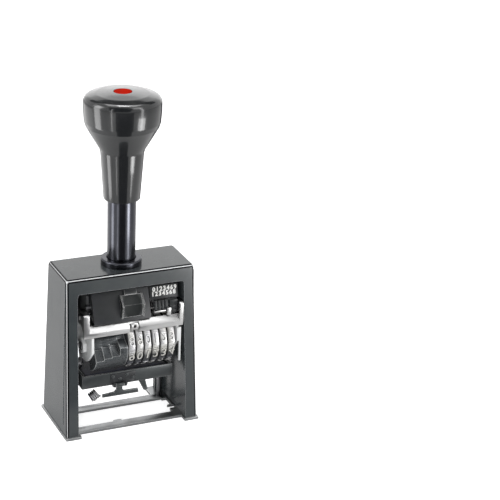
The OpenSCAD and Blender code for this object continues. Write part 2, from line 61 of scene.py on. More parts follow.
def makeCamera():
    azimuth, elevation, roll = (math.radians(view[key]) for key in ("azimuth", "elevation", "roll"))
    back = Vector((math.sin(azimuth) * math.cos(elevation), -math.cos(azimuth) * math.cos(elevation),
                   math.sin(elevation)))
    right = Vector((math.cos(azimuth), math.sin(azimuth), 0))
    up = back.cross(right)
    turnedRight = right * math.cos(roll) - up * math.sin(roll)
    turnedUp = right * math.sin(roll) + up * math.cos(roll)
    camera = bpy.data.objects.new("camera", bpy.data.cameras.new("camera"))
    bpy.context.scene.collection.objects.link(camera)
    axes = Matrix((turnedRight, turnedUp, back)).transposed().to_4x4()
    axes.translation = Vector(view["target"]) + back * view["distance"]
    camera.matrix_world = axes
    camera.data.lens = view["lens"]
    camera.data.sensor_width = view["sensor"]
    bpy.context.scene.camera = camera


makeCamera()
print("camera placed")


# Small helpers for modelling

def clearSelection():
    if bpy.context.object and bpy.context.object.mode != "OBJECT":
        bpy.ops.object.mode_set(mode="OBJECT")
    bpy.ops.object.select_all(action="DESELECT")


def makeActive(piece):
    clearSelection()
    piece.select_set(True)
    bpy.context.view_layer.objects.active = piece


def pickFaces(piece, wanted):
    # wanted is a test of a face's centre in mm and its normal
    bpy.ops.object.mode_set(mode="EDIT")
    bpy.ops.mesh.select_all(action="DESELECT")
    bpy.ops.mesh.select_mode(type="FACE")
    bpy.ops.object.mode_set(mode="OBJECT")
    for face in piece.data.polygons:
        face.select = wanted(face.center / mm, face.normal)
    bpy.ops.object.mode_set(mode="EDIT")


def pickEdges(piece, wanted):
    # wanted is a test of the two ends of an edge, in mm
    bpy.ops.object.mode_set(mode="EDIT")
    bpy.ops.mesh.select_all(action="DESELECT")
    bpy.ops.mesh.select_mode(type="EDGE")
    bpy.ops.object.mode_set(mode="OBJECT")
    points = piece.data.vertices
    for edge in piece.data.edges:
        edge.select = wanted(*(points[i].co / mm for i in edge.vertices))
    bpy.ops.object.mode_set(mode="EDIT")


def applyPlace():
    bpy.ops.object.transform_apply(location=True, rotation=True, scale=True)


def addCube(name, centre, size):
    clearSelection()
    bpy.ops.mesh.primitive_cube_add(size=1, location=Vector(centre) * mm)
    piece = bpy.context.object
    piece.name = name
    piece.scale = Vector(size) * mm
    applyPlace()
    return piece


def taperedBlock(name, low, high, footSize, topSize, depthShift=0):
    # a block between two heights whose foot and top have their own width and depth
    piece = addCube(name, (0, depthShift, (low + high) / 2), (footSize[0], footSize[1], high - low))
    pickFaces(piece, lambda centre, normal: normal.z > 0.9)
    bpy.ops.transform.resize(value=(topSize[0] / footSize[0], topSize[1] / footSize[1], 1),
                             center_override=(0, depthShift * mm, high * mm))
    bpy.ops.object.mode_set(mode="OBJECT")
    return piece


def addRod(name, radius, start, end, sides):
    clearSelection()
    start, end = Vector(start) * mm, Vector(end) * mm
    bpy.ops.mesh.primitive_cylinder_add(vertices=sides, radius=radius * mm, depth=(end - start).length,
                                        location=(start + end) / 2)
    rod = bpy.context.object
    rod.name = name
    rod.rotation_mode = "QUATERNION"
    rod.rotation_quaternion = (end - start).to_track_quat("Z", "Y")
    applyPlace()
    return rod


def applyModifier(piece, kind, **settings):
    makeActive(piece)
    modifier = piece.modifiers.new(kind.lower(), kind)
    for key, value in settings.items():
        setattr(modifier, key, value)
    bpy.ops.object.modifier_apply(modifier=modifier.name)


def cutAway(piece, *cutters):
    for cutter in cutters:
        applyModifier(piece, "BOOLEAN", object=cutter, operation="DIFFERENCE", solver="EXACT")
        bpy.data.objects.remove(cutter)


def tidyMesh(piece, threshold=2e-6):
    makeActive(piece)
    bpy.ops.object.mode_set(mode="EDIT")
    bpy.ops.mesh.select_all(action="SELECT")
    bpy.ops.mesh.remove_doubles(threshold=threshold)
    bpy.ops.mesh.normals_make_consistent(inside=False)
    bpy.ops.object.mode_set(mode="OBJECT")


def roundEdges(piece, width, segments, above):
    applyModifier(piece, "BEVEL", width=width * mm, segments=segments, limit_method="ANGLE",
                  angle_limit=math.radians(above))


def smooth(piece, below):
    makeActive(piece)
    bpy.ops.object.shade_smooth_by_angle(angle=math.radians(below))


def copyOf(name, mesh):
    piece = bpy.data.objects.new(name, mesh.copy())
    bpy.context.scene.collection.objects.link(piece)
    return piece


def joinPieces(first, others):
    makeActive(first)
    for piece in others:
        piece.select_set(True)
    bpy.ops.object.join()


def raisePiece(piece):
    makeActive(piece)
    piece.location.z += plateThickness * mm
    applyPlace()


def finishPiece(piece, finish, body, slot, *nodes, raised=True):
    if raised:
        raisePiece(piece)
    piece.data.materials.clear()
    piece.data.materials.append(finishes[finish])
    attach(piece, body)
    if nodes:
        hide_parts(*nodes)


def camelName(node):
    first, *rest = node.split("_")
    return first + "".join(word.capitalize() for word in rest)


def softened(points, segments=6):
    # an outline of (radius, height) or (radius, height, fillet) points, with its fillets drawn as arcs
    drawn = []
    for i, point in enumerate(points):
        here = Vector(point[:2])
        if len(point) < 3:
            drawn.append(here)
            continue
        before = Vector(points[i - 1][:2]) - here
        after = Vector(points[(i + 1) % len(points)][:2]) - here
        half = before.angle(after) / 2
        reach = point[2] / math.tan(half)
        centre = here + (before.normalized() + after.normalized()).normalized() * (point[2] / math.sin(half))
        first = here + before.normalized() * reach - centre
        last = here + after.normalized() * reach - centre
        turn = first.angle_signed(last)
        for step in range(segments + 1):
            angle = -turn * step / segments
            drawn.append(centre + Matrix.Rotation(angle, 2) @ first)
    return drawn


def turned(name, outline, sides=96, closed=True):
    # a lathe shape: one ring of edges is extruded and resized along the outline
    points = [Vector((max(p.x, 0.0005), p.y)) * mm for p in softened(outline)]
    if closed:
        points.append(points[0])
    clearSelection()
    bpy.ops.mesh.primitive_circle_add(vertices=sides, radius=points[0].x, location=(0, 0, points[0].y))
    piece = bpy.context.object
    piece.name = name
    applyPlace()
    bpy.ops.object.mode_set(mode="EDIT")
    bpy.ops.mesh.select_all(action="SELECT")
    for before, point in zip(points, points[1:]):
        bpy.ops.mesh.extrude_edges_move(TRANSFORM_OT_translate={"value": (0, 0, point.y - before.y)})
        ratio = point.x / before.x
        bpy.ops.transform.resize(value=(ratio, ratio, 1), center_override=(0, 0, point.y))
    bpy.ops.object.mode_set(mode="OBJECT")
    tidyMesh(piece)
    return piece


def coil(name, meanRadius, wireRadius, height, turns, steps=28, sides=10):
    # a wire ring beside the axis, screwed upwards, with its two ends filled
    clearSelection()
    bpy.ops.mesh.primitive_circle_add(vertices=sides, radius=wireRadius * mm,
                                      location=(meanRadius * mm, 0, wireRadius * mm),
                                      rotation=(math.pi / 2, 0, 0))
    piece = bpy.context.object
    piece.name = name
    applyPlace()
    applyModifier(piece, "SCREW", angle=2 * math.pi, steps=steps, render_steps=steps, iterations=turns,
                  screw_offset=(height - 2 * wireRadius) * mm / turns, use_merge_vertices=True)
    bpy.ops.object.mode_set(mode="EDIT")
    bpy.ops.mesh.select_all(action="DESELECT")
    bpy.ops.mesh.select_mode(type="EDGE")
    bpy.ops.mesh.select_non_manifold(extend=False)
    bpy.ops.mesh.fill_holes(sides=sides)
    bpy.ops.object.mode_set(mode="OBJECT")
    tidyMesh(piece)
    smooth(piece, below=60)
    return piece


def figureMesh(text, height, relief, weight=0.0):
    # one plain figure as a solid mesh, centred on the origin, facing +Z
    clearSelection()
    bpy.ops.object.text_add()
    piece = bpy.context.object
    piece.data.body = text
    piece.data.resolution_u = 3
    piece.data.extrude = 0.5
    piece.data.offset = weight
    bpy.ops.object.convert(target="MESH")
    piece = bpy.context.object
    places = [vertex.co for vertex in piece.data.vertices]
    low = Vector([min(place[i] for place in places) for i in range(3)])
    high = Vector([max(place[i] for place in places) for i in range(3)])
    piece.location = -(low + high) / 2
    applyPlace()
    size = height * mm / (high.y - low.y)
    piece.scale = (size, size, relief * mm)
    applyPlace()
    return piece


# Shader nodes, and the effects that several finishes share

def fillSockets(tree, node, values):
    for socket, value in values.items():
        if isinstance(value, bpy.types.NodeSocket):
            tree.links.new(value, node.inputs[socket])
        else:
            node.inputs[socket].default_value = value


def addNode(tree, kind, values, **settings):
    node = tree.nodes.new("ShaderNode" + kind)
    for key, value in settings.items():
        setattr(node, key, value)
    fillSockets(tree, node, values)
    return node


def calculate(tree, operation, *values):
    return addNode(tree, "Math", dict(enumerate(values)), operation=operation).outputs[0]


def remap(tree, value, span, low=0.0, high=1.0):
    # low at the span's start, high at its end
    return addNode(tree, "MapRange", {"Value": value, "From Min": span[0], "From Max": span[1],
                                      "To Min": low, "To Max": high}).outputs[0]


def noise(tree, place, scale, detail, **more):
    return addNode(tree, "TexNoise", {"Vector": place, "Scale": scale, "Detail": detail, **more}).outputs[0]


def mixColours(tree, share, first, second):
    first, second = ((*colour, 1) if isinstance(colour, tuple) else colour for colour in (first, second))
    return addNode(tree, "Mix", {0: share, 6: first, 7: second}, data_type="RGBA").outputs[2]


def surfaceNormal(tree, which="Normal"):
    return addNode(tree, "NewGeometry", {}).outputs[which]


def newGroup(name, inputs, outputs):
    tree = bpy.data.node_groups.new(name, "ShaderNodeTree")
    for direction, sockets in (("INPUT", inputs), ("OUTPUT", outputs)):
        for title, kind in sockets.items():
            tree.interface.new_socket(title, in_out=direction, socket_type="NodeSocket" + kind)
    given, made = tree.nodes.new("NodeGroupInput"), tree.nodes.new("NodeGroupOutput")
    return tree, given.outputs, made


wearAndHighlightShape = {"facing": (0.985, 0.80), "fade": 0.24, "detail": 3.0}


def makeEdgeWear():
    # bare metal along the edges, broken into patches; on some finishes it is partly a painted highlight
    tree, given, made = newGroup("edgeWearAndHighlight", {
        "Vector": "Vector", "Colour": "Color", "Bare Colour": "Color", "Width": "Float", "Amount": "Float",
        "Patch Scale": "Float", "Gaps": "Float"}, {"Colour": "Color"})
    rounded = addNode(tree, "Bevel", {"Radius": given["Width"]}, samples=6).outputs[0]
    facing = addNode(tree, "VectorMath", {0: rounded, 1: surfaceNormal(tree, "True Normal")},
                     operation="DOT_PRODUCT").outputs["Value"]
    edge = remap(tree, facing, wearAndHighlightShape["facing"])
    patches = noise(tree, given["Vector"], given["Patch Scale"], wearAndHighlightShape["detail"])
    solid = calculate(tree, "ADD", given["Gaps"], wearAndHighlightShape["fade"])
    worn = calculate(tree, "MULTIPLY", edge, remap(tree, patches, (given["Gaps"], solid)))
    share = calculate(tree, "MULTIPLY", worn, given["Amount"])
    fillSockets(tree, made, {"Colour": mixColours(tree, share, given["Colour"], given["Bare Colour"])})
    return tree


grainShape = {"detail": 4.0, "roughness": 0.6, "cloudScale": 60.0, "cloudDetail": 2.0, "span": (0.75, 1.25)}


def makeGrain():
    # fine grain, with a roughness that drifts in clouds
    g = grainShape
    tree, given, made = newGroup("surfaceGrain", {
        "Vector": "Vector", "Stretch": "Vector", "Scale": "Float", "Smoothest": "Float", "Roughest": "Float"},
        {"Roughness": "Float", "Height": "Float"})
    stretched = addNode(tree, "VectorMath", {0: given["Vector"], 1: given["Stretch"]}, operation="MULTIPLY")
    grain = noise(tree, stretched.outputs[0], given["Scale"], g["detail"], Roughness=g["roughness"])
    cloud = noise(tree, given["Vector"], g["cloudScale"], g["cloudDetail"])
    both = calculate(tree, "ADD", grain, cloud)
    roughness = remap(tree, both, g["span"], given["Smoothest"], given["Roughest"])
    fillSockets(tree, made, {"Roughness": roughness, "Height": grain})
    return tree


dustShape = {"upward": (0.4, 1.0), "speckScale": 1400.0, "speckDetail": 2.0, "driftScale": 70.0,
             "driftDetail": 3.0, "span": (0.2, 0.42), "colour": (0.42, 0.42, 0.40)}


def makeDust():
    # pale dust on the faces that look up
    d = dustShape
    tree, given, made = newGroup("settledDust", {"Vector": "Vector", "Colour": "Color", "Amount": "Float"},
                                 {"Colour": "Color", "Mask": "Float"})
    split = addNode(tree, "SeparateXYZ", {0: surfaceNormal(tree)})
    upward = remap(tree, split.outputs["Z"], d["upward"])
    specks = noise(tree, given["Vector"], d["speckScale"], d["speckDetail"])
    drifts = noise(tree, given["Vector"], d["driftScale"], d["driftDetail"])
    spread = remap(tree, calculate(tree, "MULTIPLY", specks, drifts), d["span"])
    lying = calculate(tree, "MULTIPLY", spread, upward)
    mask = calculate(tree, "MULTIPLY", lying, given["Amount"])
    fillSockets(tree, made, {"Colour": mixColours(tree, mask, given["Colour"], d["colour"]), "Mask": mask})
    return tree


paintedHighlightShape = {"lean": (1.0, 0.5), "crest": (0.88, 1.0), "band": (0.08, 0.28), "dark": (0.004, 0.004, 0.005)}


def makeCrest():
    # where a rounded edge leans 45 degrees, a painted highlight, with a painted shade line on each side, whose
    # mask goes to Metallic, because a black metal reflects next to nothing
    tree, given, made = newGroup("paintedEdgeHighlight", {"Colour": "Color", "Bare Colour": "Color"},
                                 {"Colour": "Color", "Band": "Float"})
    normal = surfaceNormal(tree)
    square = addNode(tree, "VectorMath", {0: normal, 1: normal}, operation="MULTIPLY").outputs[0]
    # the sum of the fourth powers is 1 on a face square to an axis, and 0.5 half way round an edge
    fourth = addNode(tree, "VectorMath", {0: square, 1: square}, operation="DOT_PRODUCT").outputs["Value"]
    lean = remap(tree, fourth, paintedHighlightShape["lean"])
    crest, band = remap(tree, lean, paintedHighlightShape["crest"]), remap(tree, lean, paintedHighlightShape["band"])
    dark = mixColours(tree, band, given["Colour"], paintedHighlightShape["dark"])
    bright = mixColours(tree, crest, dark, given["Bare Colour"])
    fillSockets(tree, made, {"Colour": bright, "Band": calculate(tree, "SUBTRACT", band, crest)})
    return tree


effects = {"edgeWearAndHighlight": makeEdgeWear(), "surfaceGrain": makeGrain(), "settledDust": makeDust(),
           "paintedEdgeHighlight": makeCrest()}


def useEffect(tree, name, values):
    return addNode(tree, "Group", values, node_tree=effects[name]).outputs


# Finishes: each look holds a finish's colours and the strength of every effect on it

def newMaterial(name):
    material = bpy.data.materials.new(name)
    material.use_nodes = True
    return material, material.node_tree, material.node_tree.nodes["Principled BSDF"]


def newFinish(name):
    finishes[name], tree, shader = newMaterial(name)
    return tree, shader, addNode(tree, "TexCoord", {}).outputs["Object"]


def bumpFrom(tree, height, strength, depth=0.04):
    return addNode(tree, "Bump", {"Strength": strength, "Distance": depth * mm, "Height": height}).outputs[0]


tint = {"scale": 120.0, "detail": 3.0, "span": (0.35, 0.65), "darker": 0.75}
# the painted shade in hollows: its span, share and colour
hollowShadePaint = {"span": (0.55, 0.98), "share": 0.9, "colour": (0.008, 0.009, 0.010)}
# the darker colour above a height: painted shade on the cheeks
upperDarkening = {"fade": 2, "share": 0.93, "colour": (0.03, 0.032, 0.034)}
coatRoughness = 0.06


def tintedColour(tree, place, look):
    # the finish's colour drifts a little towards a second one, in soft patches
    share = remap(tree, noise(tree, place, tint["scale"], tint["detail"]), tint["span"])
    second = look.get("second", tuple(c * tint["darker"] for c in look["colour"]))
    return mixColours(tree, share, look["colour"], second)


def darkHollows(tree, colour, reach):
    # painted shade that darkens the hollows of a piece, up to so many mm deep
    clear = addNode(tree, "AmbientOcclusion", {"Distance": reach * mm}, samples=8, only_local=True)
    paintedShade = remap(tree, clear.outputs["AO"], hollowShadePaint["span"], hollowShadePaint["share"], 0.0)
    return mixColours(tree, paintedShade, colour, hollowShadePaint["colour"])


def oiledAbove(tree, place, colour, height):
    # a darker colour on a piece above a height in mm; on the nickel cheeks it is painted shade, for the shadow
    # that falls on their upper part
    split = addNode(tree, "SeparateXYZ", {0: place})
    span = ((height - upperDarkening["fade"]) * mm, (height + upperDarkening["fade"]) * mm)
    return mixColours(tree, remap(tree, split.outputs["Z"], span, 0.0, upperDarkening["share"]), colour, upperDarkening["colour"])


def makeFinish(name, look):
    tree, shader, place = newFinish(name)
    # edge wear, which on some finishes is partly a painted highlight along the edges
    worn = useEffect(tree, "edgeWearAndHighlight", {
        "Vector": place, "Colour": tintedColour(tree, place, look), "Bare Colour": (*look["bare"], 1),
        "Width": look.get("wearWidth", 0.25) * mm, "Amount": look["wear"],
        "Patch Scale": look.get("patches", 500.0), "Gaps": look.get("gaps", 0.38)})["Colour"]
    # painted shade, darkening the hollows
    if "hollowShadeReach" in look:
        worn = darkHollows(tree, worn, look["hollowShadeReach"])
    # a darker colour above a height, which on the cheeks is painted shade
    if "oiledAbove" in look:
        worn = oiledAbove(tree, place, worn, look["oiledAbove"])
    metal = look.get("metal", 0.0)
    # a painted highlight along the rounded edges, with painted shade lines beside it, whose mask drives
    # Metallic
    if "crest" in look:
        crest = useEffect(tree, "paintedEdgeHighlight", {"Colour": worn, "Bare Colour": (*look["crest"], 1)})
        worn, metal = crest["Colour"], crest["Band"]
    dust = useEffect(tree, "settledDust", {"Vector": place, "Colour": worn, "Amount": look["dust"]})
    grain = useEffect(tree, "surfaceGrain", {
        "Vector": place, "Stretch": look.get("stretch", (1, 1, 1)), "Scale": look["grain"],
        "Smoothest": look["gloss"][0], "Roughest": look["gloss"][1]})
    fillSockets(tree, shader, {
        "Base Color": dust["Colour"], "Roughness": calculate(tree, "ADD", dust["Mask"], grain["Roughness"]),
        "Normal": bumpFrom(tree, grain["Height"], look["relief"]), "Metallic": metal,
        "Specular IOR Level": look.get("specular", 0.5), "Coat Weight": look.get("coat", 0.0),
        "Coat Roughness": coatRoughness})


looks = {
    # the housing's enamel: its crest colour is a painted highlight along the rounded edges, and its bright edge
    # wear is partly a painted highlight
    "blackEnamel": {"colour": (0.040, 0.047, 0.049), "second": (0.034, 0.040, 0.043),
                    "bare": (0.34, 0.35, 0.36), "wear": 0.9, "wearWidth": 0.4, "gaps": 0.1, "dust": 0.04,
                    "grain": 1500.0, "gloss": (0.15, 0.23), "relief": 0.05, "crest": (0.60, 0.61, 0.62)},
    "neckLacquer": {"colour": (0.068, 0.070, 0.080), "second": (0.058, 0.060, 0.070), "bare": (0.3, 0.3, 0.3),
                    "wear": 0.3, "dust": 0.03, "grain": 1200.0, "gloss": (0.15, 0.22), "relief": 0.02,
                    "stretch": (1, 1, 0.05), "metal": 1.0},
    "knobGloss": {"colour": (0.009, 0.010, 0.011), "second": (0.007, 0.008, 0.009), "bare": (0.06, 0.06, 0.065),
                  "wear": 0.4, "dust": 0.04, "grain": 900.0, "gloss": (0.17, 0.25), "relief": 0.03,
                  "specular": 0.4, "coat": 0.6},
    "redGloss": {"colour": (0.50, 0.016, 0.006), "second": (0.42, 0.012, 0.005), "bare": (0.55, 0.05, 0.03),
                 "wear": 0.4, "dust": 0.02, "grain": 1200.0, "gloss": (0.30, 0.42), "relief": 0.04,
                 "specular": 0.0},
    # the wide edge wear paints the thin plate's front faces bright: partly wear, partly painted highlight
    "baseSteel": {"colour": (0.29, 0.295, 0.30), "second": (0.23, 0.235, 0.24), "bare": (0.70, 0.71, 0.70),
                  "wear": 0.9, "wearWidth": 0.5, "gaps": 0.1, "dust": 0.03, "grain": 1300.0,
                  "gloss": (0.26, 0.42), "relief": 0.10, "stretch": (0.06, 1, 1), "metal": 1.0},
    "turnedSteel": {"colour": (0.34, 0.34, 0.35), "second": (0.26, 0.26, 0.27), "bare": (0.6, 0.6, 0.6),
                    "wear": 0.5, "dust": 0.02, "grain": 1600.0, "gloss": (0.22, 0.38), "relief": 0.06,
                    "stretch": (1, 1, 0.2), "metal": 1.0},
    "nickelPlate": {"colour": (0.54, 0.54, 0.535), "second": (0.47, 0.47, 0.47), "bare": (0.85, 0.84, 0.82),
                    "wear": 0.5, "dust": 0.02, "grain": 1100.0, "gloss": (0.24, 0.38), "relief": 0.05,
                    "stretch": (0.1, 1, 1), "metal": 1.0},
    # the cheeks darken above 64 mm: painted shade, for the shadow on their upper part
    "satinNickel": {"colour": (0.80, 0.81, 0.81), "second": (0.70, 0.71, 0.71), "bare": (0.92, 0.92, 0.92),
                    "wear": 0.5, "dust": 0.02, "grain": 900.0, "gloss": (0.42, 0.55), "relief": 0.06,
                    "stretch": (1, 1, 0.1), "metal": 0.1, "oiledAbove": 64},
    "bufferRubber": {"colour": (0.030, 0.030, 0.030), "bare": (0.08, 0.08, 0.08), "wear": 0.5, "dust": 0.12,
                     "grain": 2500.0, "gloss": (0.65, 0.85), "relief": 0.25},
    "coverBlack": {"colour": (0.026, 0.027, 0.030), "second": (0.021, 0.023, 0.024), "bare": (0.36, 0.37, 0.38),
                   "wear": 0.6, "wearWidth": 0.16, "dust": 0.05, "grain": 2200.0, "gloss": (0.30, 0.44),
                   "relief": 0.12, "specular": 0.3},
    # the slide's bright, unbroken edges are a painted highlight
    "slideBlack": {"colour": (0.016, 0.019, 0.018), "second": (0.010, 0.012, 0.013), "bare": (0.78, 0.78, 0.78),
                   "wear": 1.0, "wearWidth": 0.45, "gaps": 0.0, "dust": 0.03, "grain": 1600.0,
                   "gloss": (0.34, 0.46), "relief": 0.06, "stretch": (0.1, 1, 1), "specular": 0.2,
                   "oiledAbove": 78.8},
    "darkSteel": {"colour": (0.046, 0.052, 0.053), "second": (0.035, 0.040, 0.042), "bare": (0.66, 0.67, 0.67),
                  "wear": 0.9, "wearWidth": 0.34, "gaps": 0.0, "dust": 0.04, "grain": 1500.0,
                  "gloss": (0.28, 0.42), "relief": 0.08, "stretch": (0.15, 1, 1), "metal": 0.3},
    # the drum's hollows get painted shade, up to 5 mm deep
    "drumBlack": {"colour": (0.066, 0.072, 0.075), "second": (0.052, 0.058, 0.062), "bare": (0.72, 0.74, 0.74),
                  "wear": 1.0, "wearWidth": 0.5, "gaps": -0.1, "patches": 250.0, "dust": 0.02, "grain": 1500.0,
                  "gloss": (0.22, 0.36), "relief": 0.05, "metal": 0.4, "hollowShadeReach": 5.0},
    "scaleWhite": {"colour": (0.86, 0.86, 0.84), "second": (0.76, 0.76, 0.74), "bare": (0.9, 0.9, 0.9),
                   "wear": 0.2, "dust": 0.0, "grain": 2000.0, "gloss": (0.4, 0.6), "relief": 0.05},
}
for finish, look in looks.items():
    makeFinish(finish, look)


# The figure wheels' finish: pale metal, with painted shade in every corner and between the figures, a painted
# dark reflection on the lower flats, and random smears of ink

wheelLook = {"pale": (0.66, 0.65, 0.60), "cool": (0.62, 0.62, 0.63), "bare": (0.90, 0.90, 0.87),
             "ink": (0.020, 0.022, 0.030), "axis": (0, -4.5, 47.5), "halfFlat": 18, "inked": (12.9, 13.7),
             "inkAndShadeShare": 0.92, "under": (-1.5, -5.5), "besides": (14.45, 14.70), "darkReflectionShare": 0.93,
             "corner": 0.8, "paintedCornerShade": (0.50, 0.93), "smearScale": 420.0, "smear": (0.46, 0.70),
             "smearShare": 0.25, "toneScale": 90.0, "tone": (0.4, 0.6), "wearWidth": 0.2, "wear": 0.6,
             "patches": 600.0, "gaps": 0.2, "stretch": (0.3, 1, 1), "grain": 1400.0, "gloss": (0.26, 0.38),
             "relief": 0.08, "metal": 0.5}


def distanceFromFlat(tree, split):
    # how far a point stands from the axis, measured square to the nearest of the ten flats
    half = math.radians(wheelLook["halfFlat"])
    angle = calculate(tree, "ARCTAN2", split.outputs["Y"], split.outputs["Z"])
    folded = calculate(tree, "FLOORED_MODULO", calculate(tree, "ADD", angle, half), 2 * half)
    share = calculate(tree, "COSINE", calculate(tree, "SUBTRACT", folded, half))
    flat = addNode(tree, "CombineXYZ", {1: split.outputs["Y"], 2: split.outputs["Z"]})
    radius = addNode(tree, "VectorMath", {0: flat.outputs[0]}, operation="LENGTH")
    return calculate(tree, "MULTIPLY", radius.outputs["Value"], share)


def makeWheelFinish():
    look = wheelLook
    tree, shader, place = newFinish("shadedInkedWheel")
    spans = {key: [height * mm for height in look[key]] for key in ("inked", "under", "besides")}
    centred = addNode(tree, "VectorMath", {0: place, 1: Vector(look["axis"]) * mm}, operation="SUBTRACT")
    split = addNode(tree, "SeparateXYZ", {0: centred.outputs[0]})
    flatDistance = distanceFromFlat(tree, split)
    # painted shade in the sunk parts between the blocks and in the gaps between the wheels
    inkAndShadeShare = remap(tree, flatDistance, spans["inked"], look["inkAndShadeShare"], 0.0)
    # painted dark reflection on the lower flats, between the figures
    under = remap(tree, split.outputs["Z"], spans["under"])
    besides = remap(tree, flatDistance, spans["besides"], look["darkReflectionShare"], 0.0)
    paintedDarkReflection = calculate(tree, "MULTIPLY", under, besides)
    # painted shade in the corners beside the figures
    corners = addNode(tree, "AmbientOcclusion", {"Distance": look["corner"] * mm}, samples=8, only_local=True)
    paintedCornerShade = remap(tree, corners.outputs["AO"], look["paintedCornerShade"], 1.0, 0.0)
    # random smears of ink
    smeared = remap(tree, noise(tree, place, look["smearScale"], 4.0), look["smear"], 0.0, look["smearShare"])
    for more in (paintedDarkReflection, paintedCornerShade, smeared):
        inkAndShadeShare = calculate(tree, "MAXIMUM", inkAndShadeShare, more)
    tone = remap(tree, noise(tree, place, look["toneScale"], 2.0), look["tone"])
    worn = useEffect(tree, "edgeWearAndHighlight", {
        "Vector": place, "Colour": mixColours(tree, tone, look["pale"], look["cool"]),
        "Bare Colour": (*look["bare"], 1), "Width": look["wearWidth"] * mm, "Amount": look["wear"],
        "Patch Scale": look["patches"], "Gaps": look["gaps"]})["Colour"]
    grain = useEffect(tree, "surfaceGrain", {
        "Vector": place, "Stretch": look["stretch"], "Scale": look["grain"],
        "Smoothest": look["gloss"][0], "Roughest": look["gloss"][1]})
    fillSockets(tree, shader, {
        "Base Color": mixColours(tree, inkAndShadeShare, worn, look["ink"]), "Roughness": grain["Roughness"],
        "Normal": bumpFrom(tree, grain["Height"], look["relief"]), "Metallic": look["metal"]})


makeWheelFinish()


# The ink pad's finish: matted dark felt

feltLook = {"fibreScale": 2600.0, "fibreDetail": 5.0, "tangle": 1.5, "poolScale": 160.0, "poolDetail": 3.0,
            "soaked": (0.4, 0.6), "dark": (0.012, 0.014, 0.026), "pale": (0.050, 0.055, 0.085),
            "wet": (0.010, 0.011, 0.020), "relief": 0.7, "depth": 0.15, "roughness": 0.85, "sheen": 0.25}


def makeFeltFinish():
    look = feltLook
    tree, shader, place = newFinish("inkedFelt")
    fibres = noise(tree, place, look["fibreScale"], look["fibreDetail"], Distortion=look["tangle"])
    pools = noise(tree, place, look["poolScale"], look["poolDetail"])
    shade = mixColours(tree, fibres, look["dark"], look["pale"])
    fillSockets(tree, shader, {
        "Base Color": mixColours(tree, remap(tree, pools, look["soaked"]), shade, look["wet"]),
        "Normal": bumpFrom(tree, fibres, look["relief"], look["depth"]),
        "Roughness": look["roughness"], "Sheen Weight": look["sheen"]})


makeFeltFinish()
print("finishes made:", len(finishes))


# Housing: a tapered block, hollowed, opened at the front and rear, with rounded and softened edges

housing = {"foot": (76.2, 42), "top": (72.8, 31), "high": 89.6, "corner": 1.8, "wall": 2.8, "overshoot": 1,
           "windowHalf": 30.2, "spread": 1.05, "windowTop": 81, "windowDepth": 25, "windowShift": -17.5,
           "windowCorner": 1.5, "ceiling": 84, "cavityMore": 0.6, "rearHalf": 28, "rearTop": 53,
           "rearDepth": 35, "rearShift": 22.5, "edge": 0.4, "boreRadius": 7.6, "bore": ((0, 0, 80), (0, 0, 95)),
           "ribFront": -14.4, "ribWidth": 0.7, "ribHeight": 0.3, "ribFoot": 5, "ribTop": 86}


def makeHousing():
    h = housing
    below = -h["overshoot"]
    shell = taperedBlock("housingShell", 0, h["high"], h["foot"], h["top"])
    pickEdges(shell, lambda a, b: abs(a.z - b.z) > h["high"] / 2 or min(a.z, b.z) > h["high"] - 1)
    bpy.ops.mesh.bevel(offset=h["corner"] * mm, segments=6, profile=0.5, affect="EDGES")
    bpy.ops.object.mode_set(mode="OBJECT")
    for side in (-1, 1):
        rib = sideRib(side)
        applyModifier(shell, "BOOLEAN", object=rib, operation="UNION", solver="EXACT")
        bpy.data.objects.remove(rib)
    depthFoot, depthTop = h["foot"][1] - 2 * h["wall"], h["top"][1] - 2 * h["wall"]
    half = h["windowHalf"]
    cavity = taperedBlock("cavity", below, h["ceiling"],
                          (2 * (half + h["spread"] + h["cavityMore"]), depthFoot),
                          (2 * half + 2 * h["cavityMore"], depthTop))
    window = taperedBlock("window", below, h["windowTop"], (2 * (half + h["spread"]), h["windowDepth"]),
                          (2 * half, h["windowDepth"]), h["windowShift"])
    pickEdges(window, lambda a, b: min(a.z, b.z) > h["windowTop"] - 1 and abs(a.y - b.y) > 5)
    bpy.ops.mesh.bevel(offset=h["windowCorner"] * mm, segments=5, affect="EDGES")
    bpy.ops.object.mode_set(mode="OBJECT")
    rear = addCube("rearCut", (0, h["rearShift"], h["rearTop"] / 2 + below),
                   (2 * h["rearHalf"], h["rearDepth"], h["rearTop"] + 2 * h["overshoot"]))
    bore = addRod("neckBore", h["boreRadius"], *h["bore"], sides=64)
    cutAway(shell, cavity, window, rear, bore)
    roundEdges(shell, h["edge"], segments=3, above=40)
    smooth(shell, below=38)
    applyModifier(shell, "WEIGHTED_NORMAL", keep_sharp=True, weight=100, mode="FACE_AREA")
    finishPiece(shell, "blackEnamel", "frame", "black_enamel", "housing")


def sideRib(side):
    # a thin upright rib near the front of a side face, leaning with it
    h = housing
    lean = math.atan2((h["foot"][0] - h["top"][0]) / 2, h["high"])
    rib = addCube("sideRib", (0, h["ribFront"] + h["ribWidth"] / 2, (h["ribFoot"] + h["ribTop"]) / 2),
                  (2 * h["ribHeight"], h["ribWidth"], h["ribTop"] - h["ribFoot"]))
    rib.rotation_euler = (0, -side * lean, 0)
    rib.location = (side * h["foot"][0] / 2 * mm, 0, 0)
    applyPlace()
    return rib


makeHousing()
print("housing modelled")


# Neck tube, collar, knob, cap and sleeve: turned shapes, outlined by radius, height and fillet

